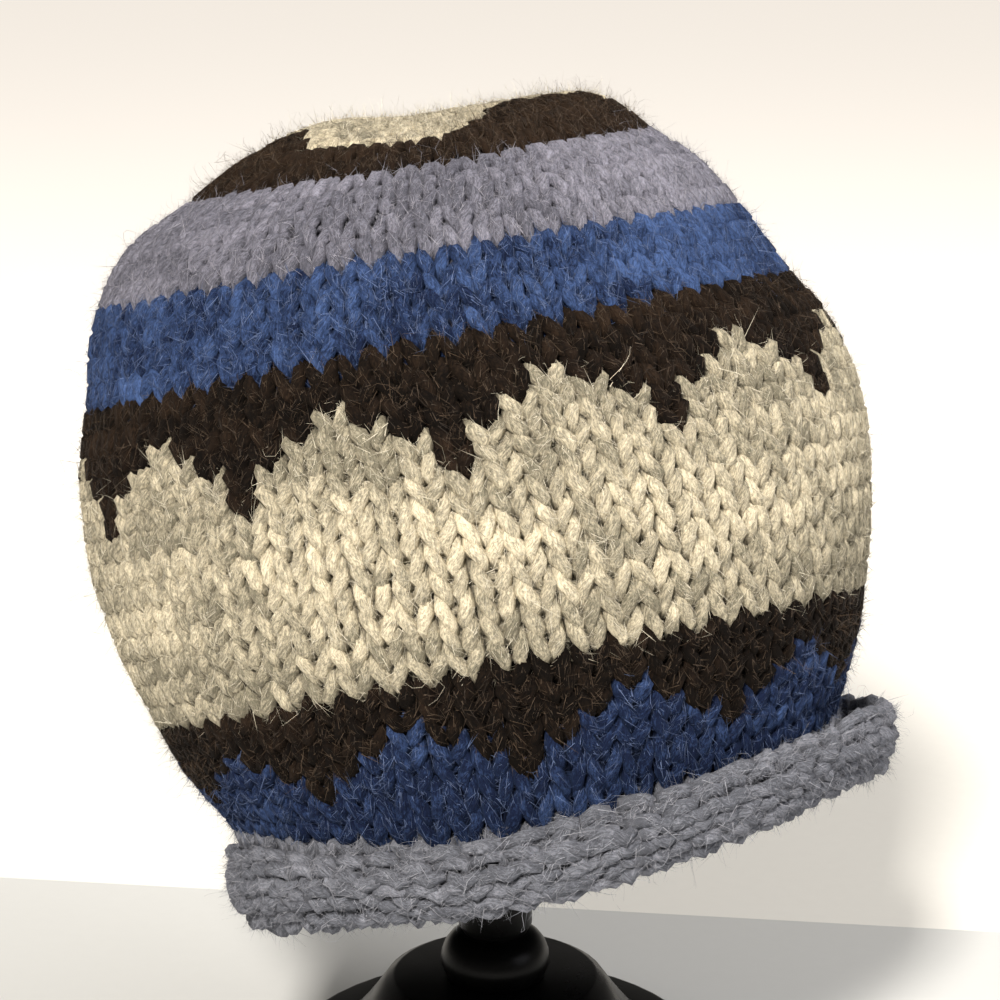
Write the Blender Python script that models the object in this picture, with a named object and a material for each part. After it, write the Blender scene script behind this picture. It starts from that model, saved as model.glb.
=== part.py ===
"""A hand-knitted beanie with a rolled brim, resting on a plain round stand.

Metres, +Z up. The origin is under the middle of the stand's foot, and the front faces -Y.
The beanie leans left and back. Its wall is made of coloured bands, one above the other,
that meet along seams, some straight and some zigzag. Heights on the wall are counted in
courses, which are rows of knitting, from the neck just above the brim.
"""

import math

import bmesh
import bpy
import numpy as np

# Beanie sizes
HAT_RADIUS = 0.0925
HAT_HEIGHT = 0.158
NECK_RIGHT = 0.0100
NECK_FORWARD = 0.0170
NECK_ABOVE_TABLE = 0.0894
WALL = 0.004
SEAM_GAP = 0.0004
COLUMNS = 48
PEAKS = 12

# The wall from the neck to the middle of the crown. Height is a share of HAT_HEIGHT along
# the beanie's own axis, radius and shift (to the right) are shares of HAT_RADIUS, the leans
# turn each ring's plane, turn carries the columns of stitches round, and spread opens them
# at the front. Angles are in degrees.
SECTIONS = np.array(
    [
        # course, height, radius, shift, left_lean, back_lean, turn, spread
        (-2.0, -0.040, 0.786, 0.000, 13.0, 13.5, -0.5, 0.18),
        (0.0, 0.000, 0.785, 0.000, 13.0, 13.5, -0.5, 0.18),
        (3.0, 0.080, 0.850, 0.000, 12.6, 15.5, -0.5, 0.18),
        (7.0, 0.180, 0.915, 0.000, 12.0, 17.0, -0.4, 0.14),
        (11.0, 0.320, 0.978, 0.000, 12.2, 15.5, -0.4, 0.06),
        (14.0, 0.425, 1.000, 0.000, 12.0, 14.3, -0.6, 0.02),
        (16.0, 0.493, 0.996, 0.000, 12.0, 13.5, -1.0, 0.00),
        (19.0, 0.597, 0.958, -0.006, 11.8, 12.4, -1.5, 0.00),
        (21.0, 0.667, 0.905, -0.018, 11.6, 11.6, -1.5, 0.00),
        (25.0, 0.795, 0.818, -0.026, 9.6, 10.5, -1.5, 0.00),
        (28.0, 0.882, 0.706, -0.012, 9.4, 9.5, -1.5, 0.00),
        (30.0, 0.928, 0.592, 0.005, 9.3, 8.5, -1.5, 0.00),
        (31.5, 0.964, 0.515, 0.015, 9.3, 8.5, -1.5, 0.00),
        (34.0, 0.990, 0.380, 0.020, 9.3, 8.5, -1.5, 0.00),
        (37.0, 1.000, 0.200, 0.020, 9.3, 8.5, -1.5, 0.00),
        (40.5, 1.000, 0.000, 0.020, 9.3, 8.5, -1.5, 0.00),
    ]
)
CROWN_TOP = SECTIONS[-1, 0]

# Soft bumps and dents: where on the wall, how far out (a share of HAT_RADIUS), how wide
DENTS = [
    # angle, course, out, angle_width, course_width
    (5.0, 34.0, -0.040, 24.0, 3.0),
    (-45.0, 35.0, 0.025, 26.0, 3.0),
    (70.0, 32.5, 0.025, 34.0, 2.2),
    (-100.0, 32.0, -0.030, 26.0, 3.0),
    (-95.0, 22.0, 0.015, 22.0, 4.0),
    (-92.0, 28.0, 0.030, 28.0, 2.6),
    (110.0, 15.0, 0.012, 25.0, 4.0),
    (-150.0, 25.0, -0.030, 30.0, 5.0),
    (160.0, 13.0, -0.020, 34.0, 5.0),
]
# The dents fade out above this course, and between these two the wall turns level
DENTS_FADE_FROM = 37.0
LEVEL_FROM = 29.0
LEVEL_AT = 33.0

# Where the fabric rides up: by how much (a share of HAT_HEIGHT) and how wide
LIFTS = [
    # angle, course, up, angle_width, course_width
    (-62.0, -1.0, 0.031, 42.0, 4.0),
]

# Seams between the coloured bands: level ones, even zigzags that rise ZIGZAG courses to
# each of PEAKS points, and the crown's own uneven one, as courses at angles.
ZIGZAG = 4.0
CROWN_SEAM = np.array(
    [
        # angle, course
        (-180.0, 31.0),
        (-138.0, 34.5),
        (-95.0, 31.2),
        (-50.0, 34.5),
        (-28.0, 32.0),
        (10.0, 32.0),
        (45.0, 35.5),
        (92.0, 31.0),
        (135.0, 34.5),
        (180.0, 31.0),
    ]
)
BLUE = (0.028, 0.080, 0.216)
BROWN = (0.033, 0.019, 0.012)
NATURAL = (0.600, 0.530, 0.400)
LAVENDER = (0.260, 0.255, 0.320)
BANDS = [
    # name, seam below, its course, seam above, its course, rows of faces, colour
    ("band_blue_peaks", "level", 0.0, "zigzag", 1.0, 2, BLUE),
    ("band_brown_lower", "zigzag", 1.0, "level", 7.0, 2, BROWN),
    ("band_natural", "level", 7.0, "zigzag", 15.0, 5, NATURAL),
    ("band_brown_upper", "zigzag", 15.0, "level", 21.0, 2, BROWN),
    ("band_blue", "level", 21.0, "level", 25.0, 2, BLUE),
    ("band_lavender", "level", 25.0, "level", 30.0, 2, LAVENDER),
    ("crown_brown", "level", 30.0, "crown", 0.0, 2, BROWN),
    ("crown_natural", "crown", 0.0, "middle", CROWN_TOP, 3, NATURAL),
]

# The brim: the wall runs on down, turns outwards and comes up again outside itself. Its
# inner leg and its turned-up outer leg meet at the bottom of the bend.
BRIM_DROP = 0.0165
BRIM_OUT = 0.0064
LIP_BELOW_NECK = 0.0050
LIP_FLARE = 0.12
BRIM_COLOUR = (0.240, 0.240, 0.275)
BRIM_WAVES = np.array(
    [
        # angle, out (share of BRIM_OUT), drop (share of BRIM_DROP), lip (share of LIP_BELOW_NECK)
        (-180.0, 1.15, 0.95, 0.90),
        (-135.0, 1.00, 1.00, 1.00),
        (-90.0, 0.78, 1.06, 1.40),
        (-60.0, 0.82, 1.12, 1.20),
        (-42.0, 0.95, 0.94, 0.76),
        (-17.0, 1.05, 0.75, 0.38),
        (7.0, 1.10, 0.74, -0.20),
        (33.0, 1.10, 0.67, -0.10),
        (59.0, 1.30, 0.54, 0.30),
        (90.0, 1.90, 0.68, 1.00),
        (125.0, 1.60, 0.80, 0.80),
        (180.0, 1.15, 0.95, 0.90),
    ]
)
HALF_BEND_STEPS = 3

# Stand sizes, as radii and heights
FOOT_RADIUS = 0.0530
FOOT_THICKNESS = 0.0090
FLANK_RADIUS = 0.0450
PLATEAU_RADIUS = 0.0262
PLATEAU_HEIGHT = 0.0295
SWELL_RADIUS = 0.0137
SWELL_HEIGHT = 0.0115
COLLAR_RADIUS = 0.0092
COLLAR_HEIGHT = 0.0200
STEM_RADIUS = 0.0075
NECKING_RADIUS = 0.0079
SWELL_FOOT_RADIUS = 0.0123
SWELL_LOW = 0.3
FLANK_CURVE = 1.35
CAP_RADIUS = 0.0340
CAP_CURVE = 0.0520
CAP_EDGE = 0.0060
ROUNDING = 0.0012
FIT_GAP = 0.0003
STAND_SEGMENTS = 48
STAND_COLOUR = (0.006, 0.006, 0.006)


def clear_scene():
    for thing in list(bpy.data.objects):
        bpy.data.objects.remove(thing, do_unlink=True)


def smooth_through(places, values, at):
    """A curve through a table's rows, read at one or many places."""
    at = np.clip(np.asarray(at, float), places[0], places[-1])
    slopes = np.gradient(values, places)
    row = np.clip(np.searchsorted(places, at, side="right") - 1, 0, len(places) - 2)
    width = places[row + 1] - places[row]
    t = (at - places[row]) / width
    start = (1 + 2 * t) * (1 - t) ** 2 * values[row] + t * (1 - t) ** 2 * width * slopes[row]
    end = t * t * (3 - 2 * t) * values[row + 1] + t * t * (t - 1) * width * slopes[row + 1]
    return start + end


def section(column, course):
    return smooth_through(SECTIONS[:, 0], SECTIONS[:, column], course)


def ring_axes(course):
    """The right, back and up directions of the ring at each course."""
    left = np.radians(section(4, course))
    back = np.radians(section(5, course))
    up = np.stack([-np.tan(left), np.tan(back), np.ones_like(left)], -1)
    up /= np.linalg.norm(up, axis=-1, keepdims=True)
    right = np.array([1.0, 0.0, 0.0]) - up * up[..., :1]
    right /= np.linalg.norm(right, axis=-1, keepdims=True)
    return right, np.cross(up, right), up


def spine_points():
    """The middles of the rings, stepped up from the neck along each ring's own up direction."""
    step = 0.05
    courses = np.arange(SECTIONS[0, 0], CROWN_TOP + step, step)
    up = ring_axes(courses)[2]
    rise = np.gradient(section(1, courses) * HAT_HEIGHT, courses)
    middles = np.cumsum(up * rise[:, None] * step, axis=0)
    neck = np.argmin(np.abs(courses))
    return courses, middles - middles[neck] + np.array([NECK_RIGHT, -NECK_FORWARD, NECK_ABOVE_TABLE])


SPINE_COURSES, SPINE = spine_points()


def ring_middle(course):
    middle = np.stack([np.interp(course, SPINE_COURSES, SPINE[:, k]) for k in range(3)], -1)
    return middle + ring_axes(course)[0] * (section(3, course) * HAT_RADIUS)[..., None]


def swelling(angle, course):
    """How far the dents and bumps move the wall out, in metres."""
    out = np.zeros(np.broadcast(angle, course).shape)
    for at_angle, at_course, share, angle_width, course_width in DENTS:
        across = (np.degrees(angle) - at_angle + 180.0) % 360.0 - 180.0
        along = (course - at_course) / course_width
        out = out + share * HAT_RADIUS * np.exp(-((across / angle_width) ** 2) - along**2)
    fade = np.clip((CROWN_TOP - course) / (CROWN_TOP - DENTS_FADE_FROM), 0.0, 1.0)
    return out * fade


def riding_up(angle, course):
    """How far the fabric rides up the beanie, in metres."""
    up = np.zeros(np.broadcast(angle, course).shape)
    for at_angle, at_course, share, angle_width, course_width in LIFTS:
        across = (np.degrees(angle) - at_angle + 180.0) % 360.0 - 180.0
        along = (course - at_course) / course_width
        up = up + share * HAT_HEIGHT * np.exp(-((across / angle_width) ** 2) - along**2)
    return up


def stitch_angle(turned, course):
    """The angle round the ring of a column of stitches, from the column's own even angle."""
    return turned + np.radians(section(6, course)) + section(7, course) * np.sin(turned)


def outer_wall(turned, course):
    """Points on the beanie's outer face, for columns (radians, front is 0) and courses."""
    turned, course = np.broadcast_arrays(np.asarray(turned, float), np.asarray(course, float))
    angle = stitch_angle(turned, course)
    right, back, up = ring_axes(course)
    push = swelling(angle, course)
    flat = np.clip((course - LEVEL_FROM) / (LEVEL_AT - LEVEL_FROM), 0.0, 1.0)
    reach = section(2, course) * HAT_RADIUS + push * (1.0 - flat)
    around = right * np.sin(angle)[..., None] - back * np.cos(angle)[..., None]
    rise = push * flat + riding_up(angle, course)
    return ring_middle(course) + around * reach[..., None] + up * rise[..., None]


def wall_frame(turned, course):
    """The outward normal and the upward tangent of the wall."""
    nudge_course = 0.05
    nudge_angle = 0.02
    below = np.minimum(course, CROWN_TOP - 3 * nudge_course)
    rise = outer_wall(turned, below + nudge_course) - outer_wall(turned, below - nudge_course)
    along = outer_wall(turned + nudge_angle, below) - outer_wall(turned - nudge_angle, below)
    normal = np.cross(along, rise)
    normal /= np.linalg.norm(normal, axis=-1, keepdims=True)
    rise /= np.linalg.norm(rise, axis=-1, keepdims=True)
    return normal, rise


def material_of(name, colour, roughness):
    made = bpy.data.materials.new(name)
    made.use_nodes = True
    shader = made.node_tree.nodes["Principled BSDF"]
    shader.inputs["Base Color"].default_value = (*colour, 1.0)
    shader.inputs["Roughness"].default_value = roughness
    shader.inputs["Metallic"].default_value = 0.0
    return made


def place_mesh(name, shape, material):
    """Turns a bmesh into a named, smooth-shaded object with its faces pointing out."""
    bmesh.ops.recalc_face_normals(shape, faces=shape.faces)
    mesh = bpy.data.meshes.new(name)
    shape.to_mesh(mesh)
    shape.free()
    mesh.shade_smooth()
    mesh.set_sharp_from_angle(angle=math.radians(40.0))
    mesh.materials.append(material)
    made = bpy.data.objects.new(name, mesh)
    bpy.context.scene.collection.objects.link(made)
    return made


def join_rings(shape, rings):
    """Adds rings of points and bridges each to the next. Returns the rings of vertices."""
    loops = [[shape.verts.new(point) for point in ring] for ring in rings]
    for lower, upper in zip(loops, loops[1:]):
        for k in range(len(lower)):
            following = (k + 1) % len(lower)
            shape.faces.new((lower[k], lower[following], upper[following], upper[k]))
    return loops


def join_edges(shape, outer, inner):
    """The narrow face between two rings. Both sides of a seam split it along like diagonals."""
    for k in range(len(outer)):
        following = (k + 1) % len(outer)
        shape.faces.new((outer[k], outer[following], inner[following]))
        shape.faces.new((outer[k], inner[following], inner[k]))


def close_ring(shape, loop, middle):
    """A fan of faces from a ring to a point in its middle."""
    tip = shape.verts.new(middle)
    for k in range(len(loop)):
        shape.faces.new((loop[k], loop[(k + 1) % len(loop)], tip))


def seam(kind, course, turned):
    """A seam's course at each column of stitches."""
    if kind == "zigzag":
        beat = (turned * PEAKS / math.tau) % 1.0
        return course + ZIGZAG * (1.0 - np.abs(2.0 * beat - 1.0))
    if kind == "crown":
        degrees = (np.degrees(turned) + 180.0) % 360.0 - 180.0
        return np.interp(degrees, CROWN_SEAM[:, 0], CROWN_SEAM[:, 1])
    return np.full(len(turned), course)


def wall_band(name, kind_below, below, kind_above, above, rows, colour):
    """One coloured band of the wall, WALL thick, stopping half a gap short of each seam."""
    turned = np.arange(COLUMNS) * math.tau / COLUMNS
    bottom = seam(kind_below, below, turned)
    top = seam(kind_above, above, turned)
    closes = kind_above == "middle"
    outer_rings = []
    inner_rings = []
    for row in range(rows if closes else rows + 1):
        course = bottom + (top - bottom) * row / rows
        normal, rise = wall_frame(turned, course)
        nudge = (row == 0) - (row == rows)
        outer_ring = outer_wall(turned, course) + rise * nudge * SEAM_GAP / 2
        outer_rings.append(outer_ring)
        inner_rings.append(outer_ring - normal * WALL)
    shape = bmesh.new()
    outer = join_rings(shape, outer_rings)
    inner = join_rings(shape, inner_rings)
    join_edges(shape, outer[0], inner[0])
    if closes:
        middle = outer_wall(np.array([0.0]), np.array([CROWN_TOP]))[0]
        up = ring_axes(np.array([CROWN_TOP]))[2][0]
        close_ring(shape, outer[-1], middle)
        close_ring(shape, inner[-1], middle - up * WALL)
    else:
        join_edges(shape, outer[-1], inner[-1])
    return place_mesh(name, shape, material_of(name, colour, 0.95))


def brim_line(turned):
    """The middle line of the brim's wall, as rings from the neck to the lip, and the way out."""
    degrees = (np.degrees(turned) + 180.0) % 360.0 - 180.0
    out, drop, lip = (
        smooth_through(BRIM_WAVES[:, 0], BRIM_WAVES[:, k], degrees) * size
        for k, size in ((1, BRIM_OUT), (2, BRIM_DROP), (3, LIP_BELOW_NECK))
    )
    neck_course = np.zeros_like(turned)
    angle = stitch_angle(turned, neck_course)
    right, back, up = ring_axes(neck_course)
    around = right * np.sin(angle)[:, None] - back * np.cos(angle)[:, None]
    reach = section(2, neck_course) * HAT_RADIUS - WALL / 2
    middle = ring_middle(neck_course) + up * riding_up(angle, neck_course)[:, None]

    def ring(extra, below):
        return middle + around * (reach + extra)[:, None] - up * below[:, None]

    start = SEAM_GAP / 2
    bend = out / 2
    rings = [ring(np.zeros_like(out), start + (drop - start) * share) for share in (0.0, 0.5, 1.0)]
    for step in range(1, 2 * HALF_BEND_STEPS + 1):
        swing = math.pi / 2 * step / HALF_BEND_STEPS
        rings.append(ring(bend * (1 - math.cos(swing)), drop + bend * math.sin(swing)))
    for share in (0.5, 1.0):
        rings.append(ring(out * (1 + LIP_FLARE * share), drop + (lip - drop) * share))
    return np.array(rings), around


def brim_legs():
    """The brim's inner leg and its outer leg, parted by a gap at the bottom of the bend."""
    turned = np.arange(COLUMNS) * math.tau / COLUMNS
    line, around = brim_line(turned)
    ahead = np.gradient(line, axis=0)
    sideways = np.roll(line, -1, axis=1) - np.roll(line, 1, axis=1)
    normal = np.cross(ahead, sideways)
    normal /= np.linalg.norm(normal, axis=-1, keepdims=True)
    bottom = 2 + HALF_BEND_STEPS
    for name, first, last, parted in (
        ("brim_inner_leg", 0, bottom, bottom),
        ("rolled_brim", bottom, len(line) - 1, bottom),
    ):
        rings = line[first : last + 1].copy()
        rings[parted - first] += around * SEAM_GAP / 2 * (1 if first else -1)
        thick = normal[first : last + 1] * WALL / 2
        shape = bmesh.new()
        outer = join_rings(shape, rings + thick)
        inner = join_rings(shape, rings - thick)
        join_edges(shape, outer[0], inner[0])
        join_edges(shape, outer[-1], inner[-1])
        place_mesh(name, shape, material_of(name, BRIM_COLOUR, 0.95))


def rounded(radius, height, steps=3):
    """Points of a quarter round at an outer upper corner of a turned profile."""
    points = []
    for step in range(steps + 1):
        swing = math.pi / 2 * step / steps
        points.append(
            (radius - ROUNDING * (1 - math.cos(swing)), height - ROUNDING * (1 - math.sin(swing)))
        )
    return points


def turned_piece(name, profile):
    """Spins a profile of (radius, height) points, from the axis below to the axis above."""
    shape = bmesh.new()
    turns = np.arange(STAND_SEGMENTS) * math.tau / STAND_SEGMENTS
    rings = [
        np.stack([r * np.cos(turns), r * np.sin(turns), np.full(STAND_SEGMENTS, z)], -1)
        for r, z in profile[1:-1]
    ]
    loops = join_rings(shape, rings)
    close_ring(shape, loops[0], (0.0, 0.0, profile[0][1]))
    close_ring(shape, loops[-1], (0.0, 0.0, profile[-1][1]))
    return place_mesh(name, shape, material_of(name, STAND_COLOUR, 0.35))


def stand_base():
    """A round foot, a sloping flank and a level plateau that the post stands on."""
    flank = []
    for step in range(6):
        share = step / 5
        radius = FLANK_RADIUS + (PLATEAU_RADIUS + ROUNDING - FLANK_RADIUS) * share
        rise = FOOT_THICKNESS + (PLATEAU_HEIGHT - ROUNDING - FOOT_THICKNESS) * share**FLANK_CURVE
        flank.append((radius, rise))
    profile = [(0.0, 0.0), (FOOT_RADIUS - ROUNDING / 2, 0.0), (FOOT_RADIUS, ROUNDING / 2)]
    profile += rounded(FOOT_RADIUS, FOOT_THICKNESS)
    profile += flank
    profile += rounded(PLATEAU_RADIUS, PLATEAU_HEIGHT)[1:]
    profile += [(0.0, PLATEAU_HEIGHT)]
    return turned_piece("stand_base", profile)


def cap_top_height(bands):
    """How high the domed cap can come before it meets the inside of the crown."""
    lowest = math.inf
    for band in bands:
        mesh = band.data
        points = [v.co for v in mesh.vertices] + [f.center for f in mesh.polygons]
        for point in points:
            across = math.hypot(point.x, point.y)
            if across < CAP_RADIUS and point.z > NECK_ABOVE_TABLE:
                sink = CAP_CURVE - math.sqrt(CAP_CURVE**2 - across**2)
                lowest = min(lowest, point.z + sink)
    return lowest - FIT_GAP


def stand_post(bands):
    """Swell, collar, stem and the domed cap that carries the crown from inside."""
    foot = PLATEAU_HEIGHT + FIT_GAP
    top = cap_top_height(bands)
    profile = [(0.0, foot), (SWELL_FOOT_RADIUS, foot)]
    for step in range(6):
        swing = math.pi / 2 * step / 5
        reach = NECKING_RADIUS + (SWELL_RADIUS - NECKING_RADIUS) * math.cos(swing)
        rise = SWELL_LOW + (1 - SWELL_LOW) * math.sin(swing)
        profile.append((reach, foot + SWELL_HEIGHT * rise))
    collar_low = foot + SWELL_HEIGHT + ROUNDING
    profile += [(COLLAR_RADIUS - ROUNDING / 2, collar_low), (COLLAR_RADIUS, collar_low + ROUNDING)]
    profile += rounded(COLLAR_RADIUS, collar_low + COLLAR_HEIGHT)
    rim_sink = CAP_CURVE - math.sqrt(CAP_CURVE**2 - CAP_RADIUS**2)
    rim = top - rim_sink
    profile += [(STEM_RADIUS, collar_low + COLLAR_HEIGHT), (STEM_RADIUS, rim - CAP_EDGE)]
    profile += [(CAP_RADIUS - ROUNDING, rim - CAP_EDGE), (CAP_RADIUS, rim - CAP_EDGE + ROUNDING)]
    for step in range(7):
        reach = CAP_RADIUS * (1 - step / 7)
        profile.append((reach, top - CAP_CURVE + math.sqrt(CAP_CURVE**2 - reach**2)))
    profile.append((0.0, top))
    return turned_piece("stand_post", profile)


clear_scene()
wall_bands = [wall_band(*row) for row in BANDS]
brim_legs()
stand_base()
stand_post(wall_bands)
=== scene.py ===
import math

import bmesh
import bpy
import numpy as np
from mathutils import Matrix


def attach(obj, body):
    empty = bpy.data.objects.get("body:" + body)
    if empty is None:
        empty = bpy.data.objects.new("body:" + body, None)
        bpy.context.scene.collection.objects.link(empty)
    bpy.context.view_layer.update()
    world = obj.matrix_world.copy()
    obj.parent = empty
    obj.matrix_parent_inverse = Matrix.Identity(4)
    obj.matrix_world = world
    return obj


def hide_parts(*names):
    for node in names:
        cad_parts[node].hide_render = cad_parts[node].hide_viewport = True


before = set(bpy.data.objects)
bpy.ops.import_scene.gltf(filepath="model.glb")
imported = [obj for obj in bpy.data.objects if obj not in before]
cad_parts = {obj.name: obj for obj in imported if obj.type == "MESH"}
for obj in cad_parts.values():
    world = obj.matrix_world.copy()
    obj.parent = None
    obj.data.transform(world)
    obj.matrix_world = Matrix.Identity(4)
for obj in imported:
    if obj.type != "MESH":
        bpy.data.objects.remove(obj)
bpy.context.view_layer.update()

# Camera and cloth form
# The picture is taken from in front and a little above with a long lens. The beanie has
# slipped to the left and back on its stand, so every ring of knitting has its own lean.
PICTURE_WIDTH = 1000
FOCAL_PIXELS = 2665
SENSOR_WIDTH = 36.0
CAMERA_DISTANCE = 0.635
CAMERA_ELEVATION = math.radians(15.0)
AIM = np.array([0.0012, 0.0, 0.152])

HAT_RADIUS = 0.0925
HAT_HEIGHT = 0.158
NECK_PLACE = np.array([0.0100, -0.0170, 0.0894])
WALL = 0.004
SECTIONS = np.array(
    [
        # course, height, radius, shift, left_lean, back_lean, turn, spread
        (-2.0, -0.040, 0.786, 0.000, 13.0, 13.5, -0.5, 0.18),
        (0.0, 0.000, 0.785, 0.000, 13.0, 13.5, -0.5, 0.18),
        (3.0, 0.080, 0.850, 0.000, 12.6, 15.5, -0.5, 0.18),
        (7.0, 0.180, 0.915, 0.000, 12.0, 17.0, -0.4, 0.14),
        (11.0, 0.320, 0.978, 0.000, 12.2, 15.5, -0.4, 0.06),
        (14.0, 0.425, 1.000, 0.000, 12.0, 14.3, -0.6, 0.02),
        (16.0, 0.493, 0.996, 0.000, 12.0, 13.5, -1.0, 0.00),
        (19.0, 0.597, 0.958, -0.006, 11.8, 12.4, -1.5, 0.00),
        (21.0, 0.667, 0.905, -0.018, 11.6, 11.6, -1.5, 0.00),
        (25.0, 0.795, 0.818, -0.026, 9.6, 10.5, -1.5, 0.00),
        (28.0, 0.882, 0.706, -0.012, 9.4, 9.5, -1.5, 0.00),
        (30.0, 0.928, 0.592, 0.005, 9.3, 8.5, -1.5, 0.00),
        (31.5, 0.964, 0.515, 0.015, 9.3, 8.5, -1.5, 0.00),
        (34.0, 0.990, 0.380, 0.020, 9.3, 8.5, -1.5, 0.00),
        (37.0, 1.000, 0.200, 0.020, 9.3, 8.5, -1.5, 0.00),
        (40.5, 1.000, 0.000, 0.020, 9.3, 8.5, -1.5, 0.00),
    ]
)
CROWN_TOP = SECTIONS[-1, 0]
DENTS = [
    # angle, course, out, angle_width, course_width
    (5.0, 34.0, -0.040, 24.0, 3.0),
    (-45.0, 35.0, 0.025, 26.0, 3.0),
    (70.0, 32.5, 0.025, 34.0, 2.2),
    (-100.0, 32.0, -0.030, 26.0, 3.0),
    (-95.0, 22.0, 0.015, 22.0, 4.0),
    (-92.0, 28.0, 0.030, 28.0, 2.6),
    (110.0, 15.0, 0.012, 25.0, 4.0),
    (-150.0, 25.0, -0.030, 30.0, 5.0),
    (160.0, 13.0, -0.020, 34.0, 5.0),
]
DENTS_FADE_FROM = 37.0
LEVEL_FROM = 29.0
LEVEL_AT = 33.0
LIFTS = [
    # angle, course, up, angle_width, course_width
    (-62.0, -1.0, 0.031, 42.0, 4.0),
    (-8.0, -1.0, -0.024, 32.0, 2.6),
]


def place_camera():
    camera = bpy.data.objects.new("camera", bpy.data.cameras.new("camera"))
    camera.data.sensor_width = SENSOR_WIDTH
    camera.data.lens = SENSOR_WIDTH * FOCAL_PIXELS / PICTURE_WIDTH
    back = np.array([0.0, -math.cos(CAMERA_ELEVATION), math.sin(CAMERA_ELEVATION)])
    camera.location = AIM + CAMERA_DISTANCE * back
    camera.rotation_euler = (math.pi / 2 - CAMERA_ELEVATION, 0.0, 0.0)
    bpy.context.scene.collection.objects.link(camera)
    bpy.context.scene.camera = camera


place_camera()


def smooth_through(places, values, at):
    """A curve through a table's rows, read at one or many places."""
    at = np.clip(np.asarray(at, float), places[0], places[-1])
    slopes = np.gradient(values, places)
    row = np.clip(np.searchsorted(places, at, side="right") - 1, 0, len(places) - 2)
    width = places[row + 1] - places[row]
    t = (at - places[row]) / width
    start = (1 + 2 * t) * (1 - t) ** 2 * values[row] + t * (1 - t) ** 2 * width * slopes[row]
    end = t * t * (3 - 2 * t) * values[row + 1] + t * t * (t - 1) * width * slopes[row + 1]
    return start + end


def section(column, course):
    return smooth_through(SECTIONS[:, 0], SECTIONS[:, column], course)


def ring_axes(course):
    """The right, back and up directions of the ring of knitting at each course."""
    left = np.radians(section(4, course))
    back = np.radians(section(5, course))
    up = np.stack([-np.tan(left), np.tan(back), np.ones_like(left)], -1)
    up /= np.linalg.norm(up, axis=-1, keepdims=True)
    right = np.array([1.0, 0.0, 0.0]) - up * up[..., :1]
    right /= np.linalg.norm(right, axis=-1, keepdims=True)
    return right, np.cross(up, right), up


def spine_points():
    """The middles of the rings, stepped up from the neck along each ring's own up direction."""
    step = 0.05
    courses = np.arange(SECTIONS[0, 0], CROWN_TOP + step, step)
    up = ring_axes(courses)[2]
    rise = np.gradient(section(1, courses) * HAT_HEIGHT, courses)
    middles = np.cumsum(up * rise[:, None] * step, axis=0)
    neck = np.argmin(np.abs(courses))
    return courses, middles - middles[neck] + NECK_PLACE


SPINE_COURSES, SPINE = spine_points()


def ring_middle(course):
    middle = np.stack([np.interp(course, SPINE_COURSES, SPINE[:, k]) for k in range(3)], -1)
    return middle + ring_axes(course)[0] * (section(3, course) * HAT_RADIUS)[..., None]


def swelling(angle, course):
    """How far the dents and bumps move the wall out, in metres."""
    out = np.zeros(np.broadcast(angle, course).shape)
    for at_angle, at_course, share, angle_width, course_width in DENTS:
        across = (np.degrees(angle) - at_angle + 180.0) % 360.0 - 180.0
        along = (course - at_course) / course_width
        out = out + share * HAT_RADIUS * np.exp(-((across / angle_width) ** 2) - along**2)
    fade = np.clip((CROWN_TOP - course) / (CROWN_TOP - DENTS_FADE_FROM), 0.0, 1.0)
    return out * fade


def riding_up(angle, course):
    """How far the fabric rides up the beanie, in metres."""
    up = np.zeros(np.broadcast(angle, course).shape)
    for at_angle, at_course, share, angle_width, course_width in LIFTS:
        across = (np.degrees(angle) - at_angle + 180.0) % 360.0 - 180.0
        along = (course - at_course) / course_width
        up = up + share * HAT_HEIGHT * np.exp(-((across / angle_width) ** 2) - along**2)
    return up


def stitch_angle(turned, course):
    """The angle round the ring of a column of stitches, from the column's own even angle."""
    return turned + np.radians(section(6, course)) + section(7, course) * np.sin(turned)


def outer_wall(turned, course):
    """Points on the beanie's outer face, for columns (radians, front is 0) and courses."""
    turned, course = np.broadcast_arrays(np.asarray(turned, float), np.asarray(course, float))
    angle = stitch_angle(turned, course)
    right, back, up = ring_axes(course)
    push = swelling(angle, course)
    flat = np.clip((course - LEVEL_FROM) / (LEVEL_AT - LEVEL_FROM), 0.0, 1.0)
    reach = section(2, course) * HAT_RADIUS + push * (1.0 - flat)
    around = right * np.sin(angle)[..., None] - back * np.cos(angle)[..., None]
    rise = push * flat + riding_up(angle, course)
    return ring_middle(course) + around * reach[..., None] + up * rise[..., None]


def wall_middle(turned, course):
    """Points half way through the knitted wall, with the outward normal there."""
    nudge_course = 0.05
    nudge_angle = 0.02
    below = np.minimum(course, CROWN_TOP - 3 * nudge_course)
    rise = outer_wall(turned, below + nudge_course) - outer_wall(turned, below - nudge_course)
    along = outer_wall(turned + nudge_angle, below) - outer_wall(turned - nudge_angle, below)
    normal = np.cross(along, rise)
    normal /= np.linalg.norm(normal, axis=-1, keepdims=True)
    return outer_wall(turned, course) - normal * WALL / 2, normal


# Yarn
# A soft handspun wool of about 3 mm, lightly twisted, uneven and hairy. Every stitch is a
# real loop of it: the legs lie in front as a V, the loop's head and feet pass behind.
COLUMNS = 72
STITCH_WIDTH = 0.0080
YARN_RADIUS = 0.00160
LEG_LEAN = 0.250
LOOP_REACH = 0.95
LOOP_DEPTH = 0.00142
LEG_PLUMPNESS = 0.14
# How much the loops differ, as shares of a stitch's own measure.
LEAN_SPREAD = 0.16
REACH_SPREAD = 0.06
SHIFT_SPREAD = 0.05
DEPTH_SPREAD = 0.10
POINTS_A_STITCH = 10
SIDES = 6
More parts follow.
